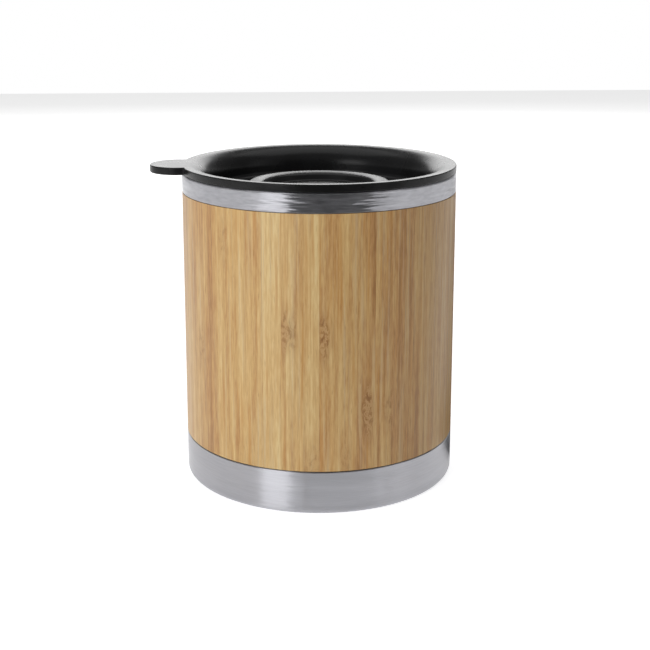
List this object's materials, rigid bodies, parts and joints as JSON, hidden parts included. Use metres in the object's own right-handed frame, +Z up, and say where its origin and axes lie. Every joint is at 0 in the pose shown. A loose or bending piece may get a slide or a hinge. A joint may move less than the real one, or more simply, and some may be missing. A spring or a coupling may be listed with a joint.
{
  "type": "bamboo cup",
  "caption": "Straight insulated drinking cup: a steel liner inside a sleeve of bamboo staves with steel bands above and below, and a dished press-in lid with a thumb tab.",
  "frame": {"origin": "centre of the surface that the cup stands on, on the cup's axis", "axes": "+Z up along the cup's axis, -X towards the lid's thumb tab, +X towards the lid's sip slot"},
  "size_m": [0.0892, 0.08, 0.0927],
  "materials": {
    "band_steel": "satin steel, brushed round the cup",
    "liner_steel": "satin drawn steel",
    "bamboo": "satin lacquered laminated bamboo",
    "glue": "cured dark adhesive",
    "lid_plastic": "smooth moulded black polypropylene",
    "seal_rubber": "matte black silicone"
  },
  "bodies": {
    "cup": {"base_shell": "band_steel", "lower_glue": "glue", "bamboo_sleeve": "bamboo", "upper_glue": "glue", "rim_band": "band_steel", "liner": "liner_steel"},
    "seal": {"lid_seal": "seal_rubber"},
    "lid": {"lid": "lid_plastic"}
  },
  "joints": [
    {"name": "lid_lift", "type": "slide", "parent": "cup", "child": "seal", "axis": [0, 0, 1], "range_m": [0, 0.06]},
    {"name": "lid_turn", "type": "hinge", "parent": "seal", "child": "lid", "pos_m": [0, 0, 0.0817], "axis": [0, 0, 1], "continuous": true}
  ]
}
